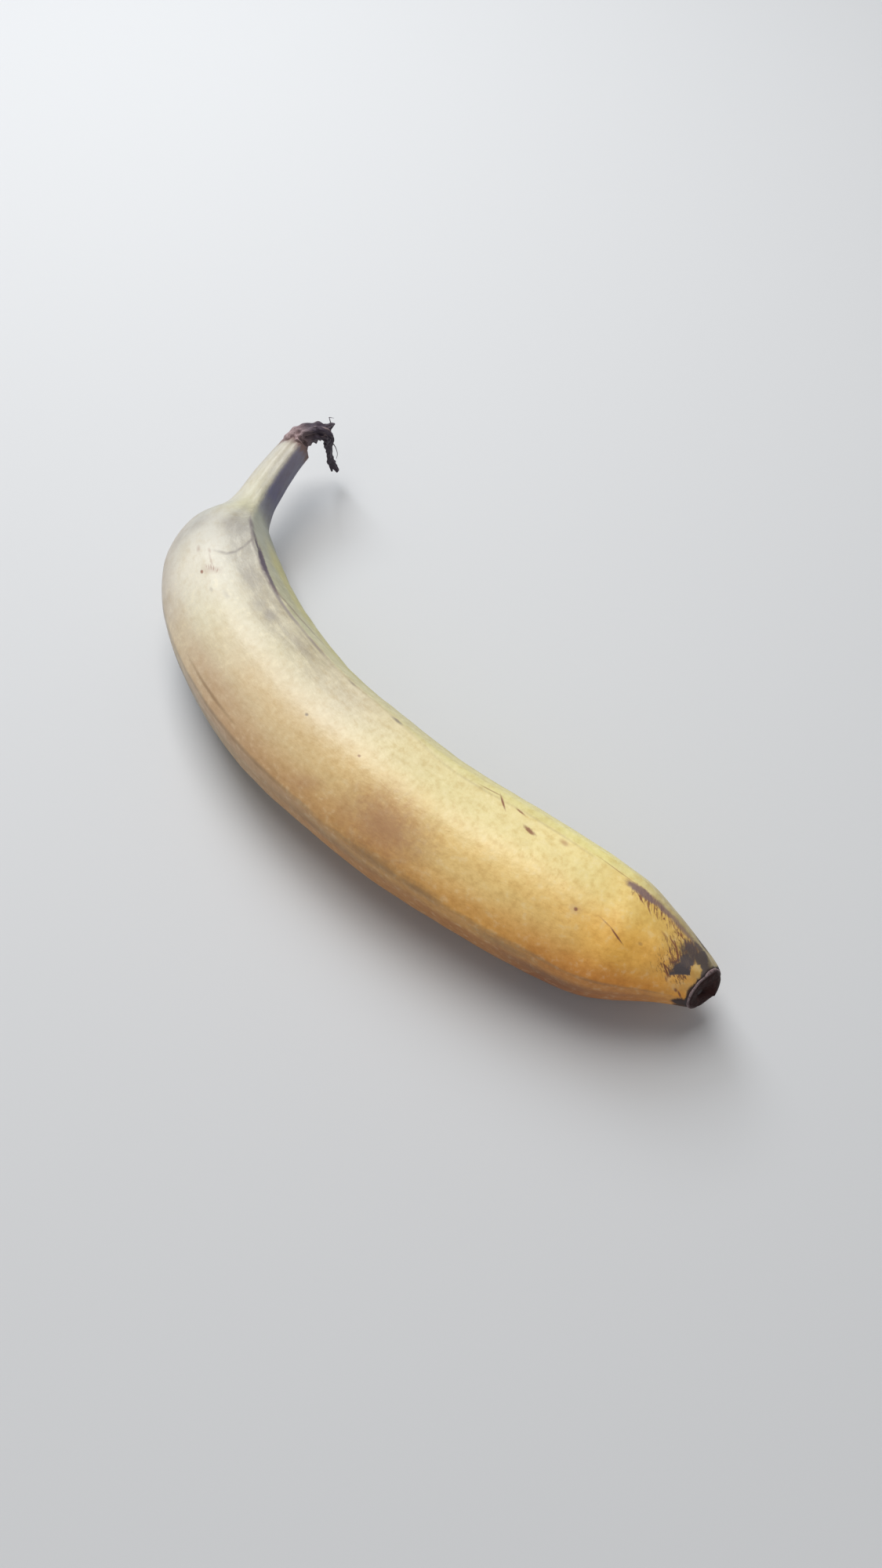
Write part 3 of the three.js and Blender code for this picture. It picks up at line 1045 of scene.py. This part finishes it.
@dataclass(frozen=True)
class PeelFinish:
    """Banana peel: cream at the shoulder, partly painted sheen, amber at the blossom end, green-grey
    at the neck, with painted shade on the stem's inner flank.
    """

    groups: SkinGroups
    shape: FruitShape
    far_inner: Colour = (0.50, 0.46, 0.17)
    ridge: Colour = (0.25, 0.185, 0.125)
    ridge_grey: Colour = (0.26, 0.225, 0.215)
    crack: Colour = (0.24, 0.105, 0.05)
    tip_dark: Colour = (0.035, 0.022, 0.022)
    torn: Colour = (0.20, 0.13, 0.12)
    streaked: Colour = (0.84, 0.79, 0.70)
    blotched: Colour = (0.88, 0.82, 0.73)
    paler: Colour = (0.94, 0.82, 0.55)
    flecked: Colour = (0.70, 0.60, 0.50)
    pored: Colour = (0.74, 0.62, 0.52)
    smeared: Colour = (0.72, 0.71, 0.72)

    def sound_peel(self, peel: PeelInputs) -> Value:
        """Colour of sound peel: a ramp along each lane, and the lanes blended by side. A few lane
        stops hold painted shade, and the shoulder's cream is partly painted sheen.
        """
        at = peel.skin.share + (peel.cloud - 0.5) * 0.08
        lane = {name: peel.skin.graph.ramp(at, stops) for name, stops in LANES.items()}
        colour = lane[Lane.UPPER_FLANK].toward(peel.side.rise(58.0, 100.0), lane[Lane.TOP])
        colour = colour.toward(peel.side.rise(54.0, 24.0), lane[Lane.LOWER_FLANK])
        colour = colour.toward(peel.side.rise(16.0, 4.0), lane[Lane.UNDER])
        from_crest = (peel.around + peel.drawn - 124.5) * peel.along.rise(28.0, 48.0, 0.32, 1.0)
        colour = colour.toward((from_crest + peel.edge * 4.0).rise(-2.5, 4.0), lane[Lane.INNER])
        far = peel.side.rise(138.0, 152.0) * peel.along.rise(36.0, 60.0, 0.0, 0.75)
        colour = colour.toward(far * peel.along.rise(215.0, 150.0), self.far_inner)
        return colour.toward(peel.side.rise(205.0, 250.0), lane[Lane.UNDER])

    def mottled(self, peel: PeelInputs, colour: Value) -> Value:
        """Adds long faint mottling, fine blotches dark and pale, flecks and pores."""
        skin = peel.skin
        blotch = skin.graph.noise(skin.place, 560.0, 3.0, 0.55)
        colour = colour.dimmed(skin.streak.rise(0.46, 0.76, 0.0, 0.5), self.streaked)
        colour = colour.dimmed(blotch.rise(0.44, 0.74) * peel.rougher, self.blotched)
        pale = blotch.rise(0.47, 0.30) * peel.along.rise(45.0, 75.0, 0.0, 0.18)
        colour = colour.toward(pale, self.paler)
        flecks = skin.fleck.rise(0.50, 0.80) * peel.patch.rise(0.38, 0.62, 0.2, 1.0)
        colour = colour.dimmed(flecks * 0.12, self.flecked)
        return colour.dimmed(peel.speckle.rise(0.60, 0.82, 0.0, 0.10), self.pored)

    def rubbed(self, peel: PeelInputs, colour: Value) -> Value:
        """Adds the grey rubbed band beside the inner ridge."""
        graph = peel.skin.graph
        smear = graph.noise(graph.stretched(peel.skin.place, (90, 420, 420)), 1.0, 5.0, 0.7, 0.4)
        band = peel.side.rise(94.0, 108.0) * peel.around.rise(126.0, 121.0)
        band = band * peel.along.within(0.0, 8.0, 95.0, 150.0)
        return colour.dimmed(band * smear.rise(0.34, 0.60, 0.25, 1.0), self.smeared)

    def ridge_wear(self, peel: PeelInputs) -> Value:
        """Mask of the thin worn lines along the ridges."""
        drift = (peel.cloud - 0.5) * 5.0
        lines = []
        for line in WORN_LINES:
            beside = peel.around + peel.drawn if line.angle == INNER_RIDGE else peel.around
            off = peel.skin.graph.math("ABSOLUTE", beside + drift - line.angle)
            mask = off.rise(line.width, 0.2) * peel.skin.streak.rise(0.30, 0.62, 0.25, 1.0)
            stretch = (line.first, line.first + 18.0, line.last - 8.0, line.last + 6.0)
            lines.append(mask * peel.along.within(*stretch) * line.strength)
        return peel.skin.graph.most(lines)

    def cracked(self, peel: PeelInputs, colour: Value) -> Value:
        """Adds short slanting cracks before the dried patches and beside the rubbed band.

        The cracks are noise drawn out along lines at a slant to the ridges, cut off higher
        where they are sparse.
        """
        graph, along, around = peel.skin.graph, peel.along, peel.around
        arc = around * 0.15
        slant = graph.joined((along - arc) * 0.42, (along + arc) * 1.9)
        strokes = graph.noise(slant, 1.0, 3.0, 0.55, 0.6)
        near = (along + peel.edge * 6.0).rise(214.0, 223.0)
        near = near * around.within(36.0, 62.0, 116.0, 124.0) * along.rise(226.0, 224.5)
        fringe = along.within(204.0, 208.0, 218.0, 222.0)
        fringe = fringe * around.within(101.0, 111.0, 118.0, 121.0)
        near = graph.math("MAXIMUM", near, fringe * 0.68)
        strokes = (strokes + near * 0.16).rise(0.60, 0.68)
        return colour.toward(strokes * graph.math("MINIMUM", near * 1.4, 0.9), self.crack)

    @staticmethod
    def free_to_dry(peel: PeelInputs) -> Value:
        """Mask that keeps dried patches off two areas with straight edges.

        One is a square-cornered tongue of sound peel that reaches in between the patches, the
        other all that lies beneath them. Each edge is a line across distance and arc, both
        in millimetres: a weighted sum of the two that passes a limit.
        """
        by_along = peel.along + peel.edge * 0.8
        by_arc = peel.around * 0.13 + peel.edge * 0.8
        across = by_along * 0.944 + by_arc * 0.33
        upward = by_along * -0.82 + by_arc * 0.574
        beneath = by_along * -0.532 + by_arc * 0.847
        tongue = across.within(215.8, 216.1, 218.2, 218.5) * upward.rise(-177.7, -177.95)
        sound = peel.skin.graph.math("MAXIMUM", tongue, beneath.rise(-112.0, -112.25))
        return 1.0 - sound

    def stain_mask(self, peel: PeelInputs, stain: Stain) -> Value:
        """Mask of all the blemishes of one stain."""
        masks = []
        for mark in (Blemish(*row) for row in MARKS[stain]):
            tilt = math.radians(mark.tilt)
            placed = peel.skin.graph.group(
                self.groups.mark,
                Along=peel.along,
                Around=peel.around,
                At=mark.along,
                Angle=mark.angle,
                Long=mark.long,
                Wide=mark.wide,
                Cos=math.cos(tilt),
                Sin=math.sin(tilt),
                Girth=math.radians(float(self.shape.half_width(np.array(mark.along)))),
                Soft=mark.soft,
                Wobble=peel.edge * (mark.wobble * 2.0),
            )
            (mask,) = peel.skin.graph.read(placed, "Mask")
            masks.append(mask * mark.strength)
        return peel.skin.graph.most(masks)

    def rim_edge(self, peel: PeelInputs) -> Value:
        """Mask of the peel's edge against the button's tilted rim."""
        turn = peel.skin.graph.math("RADIANS", peel.around - self.shape.rim_tilt_angle)
        to_rim = peel.along + peel.skin.graph.math("COSINE", turn) * self.shape.rim_tilt
        to_rim = to_rim - self.shape.rim_at
        return (to_rim + peel.edge * 1.2).rise(-0.75, -0.25)

    def torn_edge(self, peel: PeelInputs) -> Value:
        """Mask of the torn edge at the stem's end."""
        graph = peel.skin.graph
        ragged = graph.noise(graph.stretched(peel.skin.place, (150, 800, 800)), 1.0, 4.0, 0.6, 0.25)
        return (peel.along + (ragged - 0.5) * 7.0).rise(4.2, 0.8)

    def material(self) -> bpy.types.Material:
        """Builds the peel's material: colour layers, roughness and fine relief.

        Returns:
            The material.
        """
        skin = SkinInputs.begin("banana_peel", self.groups.fibre, 260.0, 1300.0, 2.6)
        peel = PeelInputs.of(skin)
        graph = skin.graph
        colour = self.rubbed(peel, self.mottled(peel, self.sound_peel(peel)))
        wear = self.ridge_wear(peel)
        wear_tint = graph.blend(peel.along.rise(88.0, 125.0), self.ridge_grey, self.ridge)
        colour = self.cracked(peel, colour.toward(wear, wear_tint))
        rough_spots = [wear]
        for stain in Stain:
            mask = self.stain_mask(peel, stain)
            if stain is Stain.DRIED:
                mask = mask * self.free_to_dry(peel)
            colour = colour.toward(mask, STAIN_COLOURS[stain])
            if stain in ROUGH_STAINS:
                rough_spots.append(mask)
        rim, torn = self.rim_edge(peel), self.torn_edge(peel)
        colour = colour.toward(rim, self.tip_dark).toward(torn, self.torn)
        worn = graph.most([*rough_spots, rim, torn])

        rough = peel.cloud.rise(0.3, 0.7, 0.40, 0.50) + (skin.fleck - 0.5) * 0.16
        dimple = graph.noise(skin.place, 620.0, 1.0, 0.4)
        relief = skin.grain * 0.55 + peel.speckle * 0.22 + peel.patch * 0.35
        relief = relief - dimple.rise(0.35, 0.80) * peel.rougher * 0.16 - worn * 0.35
        return skin.close(colour, rough + worn * 0.2, gloss=0.5, relief=relief, depth=0.35)


@dataclass(frozen=True)
class DryFibreFinish:
    """Dry plant tissue: streaked, dull and dark, going from one colour to another along it."""

    groups: SkinGroups
    name: str
    near: Colour
    far: Colour
    highlight: Colour
    turn_from: float
    turn_to: float
    roughness: float = 0.72
    gloss: float = 0.5
    pit: Colour = (0.02, 0.012, 0.015)

    def material(self) -> bpy.types.Material:
        """Builds the streaked dry material.

        Returns:
            The material.
        """
        skin = SkinInputs.begin(self.name, self.groups.fibre, 900.0, 2600.0, 5.0)
        lump = skin.graph.noise(skin.place, 480.0, 4.0, 0.6, 0.5)
        at = skin.share * LENGTH_MM + (lump - 0.5) * (0.25 * (self.turn_to - self.turn_from))
        colour = skin.graph.blend(at.rise(self.turn_from, self.turn_to), self.near, self.far)
        colour = colour.toward(skin.streak.rise(0.5, 0.72, 0.0, 0.7), self.highlight)
        colour = colour.toward(skin.fleck.rise(0.52, 0.35, 0.0, 0.5), self.pit)
        rough = lump.rise(0.3, 0.7, self.roughness - 0.1, self.roughness + 0.12)
        return skin.close(colour, rough, self.gloss, relief=skin.grain + lump * 0.6, depth=0.8)


# ---- sub-assemblies ---------------------------------------------------------------------


def put_in_frame(piece: bpy.types.Object, material: bpy.types.Material) -> None:
    """Dresses a piece and ties it to the fruit's body."""
    piece.data.materials.clear()
    piece.data.materials.append(material)
    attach(piece, "root")
    LOG.info("%s: %d faces", piece.name, len(piece.data.polygons))


@dataclass
class Peel:
    """The fruit's whole skin, from the stem's broken end to the rim of the button."""

    shape: FruitShape
    rings: int = 410
    sides: int = 220
    crowding: float = 0.4

    def along(self) -> Array:
        """Ring places, closer together at both ends by a sine."""
        t = np.linspace(0.0, 1.0, self.rings)
        return self.shape.rim_at * (t - self.crowding * np.sin(2 * math.pi * t) / (2 * math.pi))

    def relief(self, along: Array, around: Array) -> Array:
        """Fine shape of the skin in millimetres.

        A narrow bell for each ridge's crest, furrows that run down the stem and fade on the
        neck, low swells, puckers that deepen towards the button, and the sunken scar.

        Args:
            along: Distances, one for each row.
            around: Angles, one for each column.

        Returns:
            The relief, rings by sides.
        """
        rows = along[:, None]
        crests = sum(
            ridge.crest
            * hump((angle_between(around, ridge.angle) + 1.2 * np.sin(rows / 19.0)) / 3.2)
            * (1 + 0.4 * np.sin(rows / 7.3 + ridge.angle))
            for ridge in self.shape.ridges
        )
        crests = crests * ease(rows, 20, 60) * (1 - 0.5 * ease(rows, 210, 226))
        flute = np.sin(np.radians(around) * 13 + 0.8 * np.sin(rows / 9))
        furrows = 0.05 * (1 - ease(rows, 22, 62)) * flute
        furrows = furrows + 0.10 * (1 - ease(rows, 30, 80)) * ripples(rows, around, 40.0, 12, 5)
        swells = 0.22 * ripples(rows, around, 34.0, 3, 11) * ease(rows, 20, 60)
        dimples = 0.05 * ripples(rows, around, 7.0, 12, 17)
        pucker = 0.35 * ease(rows, 214, 228) * ripples(rows, around, 9.0, 11, 23)
        scar = -0.3 * hump((rows - 60.5) / 6.0) * hump(angle_between(around, 128.3) / 2.4)
        scar = scar - 0.16 * hump((rows - 70.0) / 7.0) * hump(angle_between(around, 126.2) / 1.7)
        oval = -0.15 * hump((rows - 179.2) / 1.6) * hump(angle_between(around, 106.6) / 2.2)
        return crests + furrows + swells + dimples + pucker + scar + oval

    def build(self, finish: PeelFinish) -> bpy.types.Object:
        """Makes the skin and lets it stand for the model's solid."""
        along = self.along()
        around = np.linspace(-90.0, 270.0, self.sides, endpoint=False)[None, :]
        relief = self.relief(along, around)
        rings = self.shape.surface(along, around, relief)
        placed = along[:, None] + self.shape.tilt(along[:, None], around)
        straight = straightened(placed, around, self.shape.reach(along[:, None], around) + relief)
        ends = (rings[0].mean(axis=0), rings[-1].mean(axis=0))
        piece = closed_tube("banana_peel", rings, ends, placed, straight)
        put_in_frame(piece, finish.material())
        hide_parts("banana")
        return piece


@dataclass
class BlossomButton:
    """The dry stub left by the flower: a rolled rim round a low dark dome."""

    shape: FruitShape
    profile: tuple[tuple[float, float], ...] = (
        (226.8, 3.2), (228.2, 4.7), (228.95, 5.35), (229.25, 5.56), (229.55, 5.42),
        (229.66, 5.08), (229.72, 4.85), (230.05, 4.45), (230.35, 3.5), (230.5, 2.0),
        (230.5, 0.5),
    )
    rings: int = 90
    sides: int = 120

    def build(self, finish: DryFibreFinish) -> bpy.types.Object:
        """Carries the profile round the centreline's end, with a puckered outline.

        The radius is the profile's, times one plus a few cosines of whole turns, which make
        the rim uneven and the stub angular.

        Args:
            finish: The dry finish.

        Returns:
            The button.
        """
        stations = np.arange(len(self.profile), dtype=float)
        at = np.linspace(0.0, stations[-1], self.rings)
        along, radius = through_stations(stations, np.array(self.profile), at).T
        around = np.linspace(-90.0, 270.0, self.sides, endpoint=False)[None, :]
        angle = np.radians(around)
        last = np.array([[self.shape.length]])
        section = self.shape.reach(last, around) / self.shape.half_width(last)
        reach = radius[:, None] * section + 0.07 * ripples(at[:, None] * 2.0, around, 3.0, 9, 31)
        rows = along[:, None] + 0.1 * np.cos(angle * 2 + 1.0) * ease(at, 1.0, 4.0)[:, None]
        shifted = rows + self.shape.tilt(np.full_like(rows, self.shape.rim_at), around)
        rings = self.shape.carried(along[:, None], shifted, around, reach)
        straight = straightened(shifted, around, reach)
        ends = (rings[0].mean(axis=0), rings[-1].mean(axis=0))
        piece = closed_tube("blossom_button", rings, ends, along, straight)
        put_in_frame(piece, finish.material())
        return piece


@dataclass
class TornCrown:
    """What is left of the crown: a wrinkled stub, a strip that hangs from it, and fibres."""

    shape: FruitShape

    def place(self, ahead: float, aside: float, up: float) -> Place:
        """A place given from the stem's end: ahead out of the stem, aside, and up."""
        start = self.shape.middle(0.0)
        back = float(self.shape.heading(np.array(0.0))) + math.pi
        forward = np.array([math.cos(back), math.sin(back), 0.0])
        side = np.array([-forward[1], forward[0], 0.0])
        return tuple(start + forward * ahead + side * aside + np.array([0.0, 0.0, up]))

    def path(self, *places: Place) -> tuple[Place, ...]:
        """Several places given from the stem's end."""
        return tuple(self.place(*place) for place in places)

    def stub(self) -> Strand:
        """The wrinkled stub that caps the stem."""
        return Strand(
            path=self.path(
                (-3.0, 0.5, -0.6), (0.6, 1.0, 0.5), (3.2, 0.3, 1.4),
                (5.8, -1.8, 2.1), (8.0, -4.0, 1.9), (9.5, -5.5, 0.2),
            ),
            wide=(3.6, 4.4, 4.1, 3.9, 3.8, 2.4),
            thin=(0.95, 0.85, 0.75, 0.65, 0.6, 0.5),
            lay=(80.0, 80.0, 75.0, 70.0, 60.0, 50.0),
            fold_depth=0.17,
            crinkle=0.5,
            seed=7,
        )

    def strip(self) -> Strand:
        """The strip of dry peel that hangs down."""
        return Strand(
            path=self.path(
                (7.8, -3.8, 1.6), (9.2, -5.2, -0.6), (9.2, -5.5, -4.0),
                (9.5, -5.2, -7.6), (10.2, -5.0, -11.0), (11.2, -6.4, -15.2),
            ),
            wide=(2.4, 2.6, 1.5, 1.1, 1.15, 0.55),
            thin=(0.6, 0.55, 0.5, 0.5, 0.5, 0.6),
            lay=(20.0, 10.0, -10.0, -40.0, -60.0, -20.0),
            folds=3,
            crinkle=0.35,
            seed=12,
        )

    def fork(self) -> Strand:
        """The strip's second end."""
        return Strand(
            path=self.path((9.8, -5.0, -9.0), (10.0, -5.0, -11.6), (9.8, -5.2, -14.6)),
            wide=(0.8, 0.75, 0.3),
            thin=(0.6, 0.6, 0.7),
            lay=(-30.0,) * 3,
            folds=3,
            crinkle=0.25,
            rings=50,
            sides=24,
            seed=14,
        )

    def nub(self) -> Strand:
        """The lump on the far side of the stub."""
        return Strand(
            path=self.path((7.6, -3.6, 1.4), (9.0, -5.0, 2.9), (10.1, -6.3, 3.8), (10.9, -7.2, 4.4)),
            wide=(2.0, 1.7, 1.0, 0.3),
            thin=(0.7,) * 4,
            lay=(30.0,) * 4,
            folds=3,
            crinkle=0.35,
            rings=50,
            sides=28,
            seed=19,
        )

    def fibre(self, path: Sequence[Place], seed: int) -> Strand:
        """One thin fibre."""
        return Strand(
            path=self.path(*path),
            wide=(0.2, 0.14, 0.1, 0.05),
            thin=(0.7,) * 4,
            lay=(0.0,) * 4,
            folds=3,
            fold_depth=0.1,
            crinkle=0.12,
            rings=40,
            sides=10,
            seed=seed,
        )

    def build(self, finish: DryFibreFinish, strip_finish: DryFibreFinish) -> None:
        """Makes the stub, the strip with its fork, the nub and the fibres.

        Args:
            finish: The stub's finish.
            strip_finish: The finish of all the rest.
        """
        upper = ((10.2, -6.3, 3.9), (11.6, -5.0, 4.6), (12.3, -4.4, 4.5), (12.9, -5.6, 4.3))
        lower = ((9.5, -6.0, -1.6), (9.9, -7.2, -3.6), (9.8, -7.9, -6.0), (9.4, -7.7, -8.0))
        put_in_frame(self.stub().build("stem_tear"), finish.material())
        shared = strip_finish.material()
        for name, strand in (
            ("hanging_strip", self.strip()),
            ("strip_fork", self.fork()),
            ("crown_nub", self.nub()),
            ("crown_fibre_1", self.fibre(upper, 1)),
            ("crown_fibre_2", self.fibre(lower, 2)),
        ):
            put_in_frame(strand.build(name), shared)


# ---- studio -----------------------------------------------------------------------------


@dataclass(frozen=True)
class Lamp:
    """A square soft lamp turned to the aim, its place given round the aim in degrees."""

    name: str
    azimuth: float
    elevation: float
    distance: float
    size: float
    watts: float
    colour: Colour


@dataclass
class Studio:
    """Pale floor, soft light from behind the fruit, and the camera."""

    aim: Place = (0.0240, 0.0010, 0.018)
    distance: float = 0.303
    azimuth: float = 58.0
    elevation: float = 58.0
    lens: float = 27.9
    sensor: float = 36.0
    floor_reach: float = 6.0
    floor_colour: Colour = (0.60, 0.61, 0.63)
    sky: Colour = (0.93, 0.96, 1.0)
    sky_strength: float = 0.25

    def put(self, thing: bpy.types.Object, azimuth: float, elevation: float, distance: float) -> None:
        """Puts a camera or a lamp round the aim and turns it there.

        Args:
            thing: The camera or lamp.
            azimuth: Degrees round the aim. At 0 it is in front, on the -Y side.
            elevation: Degrees above the level of the aim.
            distance: Metres from the aim.
        """
        a, e = math.radians(azimuth), math.radians(elevation)
        way = Vector((math.sin(a) * math.cos(e), -math.cos(a) * math.cos(e), math.sin(e)))
        thing.location = Vector(self.aim) + way * distance
        turned = Vector(self.aim) - thing.location
        thing.rotation_euler = turned.to_track_quat("-Z", "Y").to_euler()
        bpy.context.scene.collection.objects.link(thing)

    def add_camera(self) -> None:
        """The camera, with its long side across the sensor."""
        data = bpy.data.cameras.new("camera")
        data.sensor_width = self.sensor
        data.lens = self.lens
        data.clip_start = 0.01
        camera = bpy.data.objects.new("camera", data)
        self.put(camera, self.azimuth, self.elevation, self.distance)
        bpy.context.scene.camera = camera

    def add_lamp(self, lamp: Lamp) -> None:
        """Hangs one lamp."""
        data = bpy.data.lights.new(lamp.name, "AREA")
        data.size = lamp.size
        data.energy = lamp.watts
        data.color = lamp.colour
        hung = bpy.data.objects.new(lamp.name, data)
        self.put(hung, lamp.azimuth, lamp.elevation, lamp.distance)

    def add_floor(self) -> None:
        """A wide plain pale floor just under the fruit."""
        far = self.floor_reach
        mesh = bpy.data.meshes.new("floor")
        corners = [(-far, -far, 0.0), (far, -far, 0.0), (far, far, 0.0), (-far, far, 0.0)]
        mesh.from_pydata(corners, [], [(0, 1, 2, 3)])
        floor = bpy.data.objects.new("floor", mesh)
        bpy.context.scene.collection.objects.link(floor)
        finish = bpy.data.materials.new("pale_floor")
        finish.use_nodes = True
        shader = finish.node_tree.nodes["Principled BSDF"]
        shader.inputs["Base Color"].default_value = (*self.floor_colour, 1.0)
        shader.inputs["Roughness"].default_value = 0.75
        mesh.materials.append(finish)

    def build(self) -> None:
        """Sets up everything that isn't the fruit."""
        self.add_camera()
        self.add_floor()
        behind = self.azimuth + 202.0
        for lamp in (
            Lamp("window", behind, 42.0, 0.9, 0.40, 3.9, (0.95, 0.98, 1.0)),
            Lamp("overhead", behind, 72.0, 1.0, 0.6, 6.0, (1.0, 0.97, 0.92)),
            Lamp("fill", self.azimuth - 40.0, 40.0, 1.3, 0.9, 1.2, (1.0, 0.98, 0.95)),
        ):
            self.add_lamp(lamp)
        world = bpy.data.worlds.new("studio")
        world.use_nodes = True
        background = world.node_tree.nodes["Background"]
        background.inputs["Color"].default_value = (*self.sky, 1.0)
        background.inputs["Strength"].default_value = self.sky_strength
        bpy.context.scene.world = world


def build_fruit() -> None:
    """Builds the peel, the button and the crown, each with its finish."""
    groups = SkinGroups(fibre_grain(), skin_mark())
    shape = FruitShape()
    Peel(shape).build(PeelFinish(groups, shape))
    button = DryFibreFinish(
        groups,
        "dry_button",
        near=(0.32, 0.235, 0.24),
        far=(0.036, 0.012, 0.010),
        highlight=(0.080, 0.034, 0.030),
        turn_from=229.45,
        turn_to=229.75,
        roughness=0.7,
        gloss=0.16,
    )
    BlossomButton(shape).build(button)
    stub = DryFibreFinish(
        groups,
        "dry_stub",
        near=(0.34, 0.24, 0.245),
        far=(0.06, 0.042, 0.065),
        highlight=(0.42, 0.31, 0.31),
        turn_from=5.0,
        turn_to=11.0,
    )
    strip = DryFibreFinish(
        groups,
        "dry_strip",
        near=(0.055, 0.04, 0.06),
        far=(0.045, 0.032, 0.048),
        highlight=(0.15, 0.115, 0.15),
        turn_from=2.0,
        turn_to=10.0,
    )
    TornCrown(shape).build(stub, strip)


def main() -> None:
    """Builds the studio and the fruit."""
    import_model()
    bpy.context.scene.view_settings.view_transform = "Standard"
    Studio().build()
    build_fruit()
    bpy.context.view_layer.update()


if __name__ == "__main__":
    logging.basicConfig(level=logging.INFO, format="%(name)s: %(message)s")
    main()
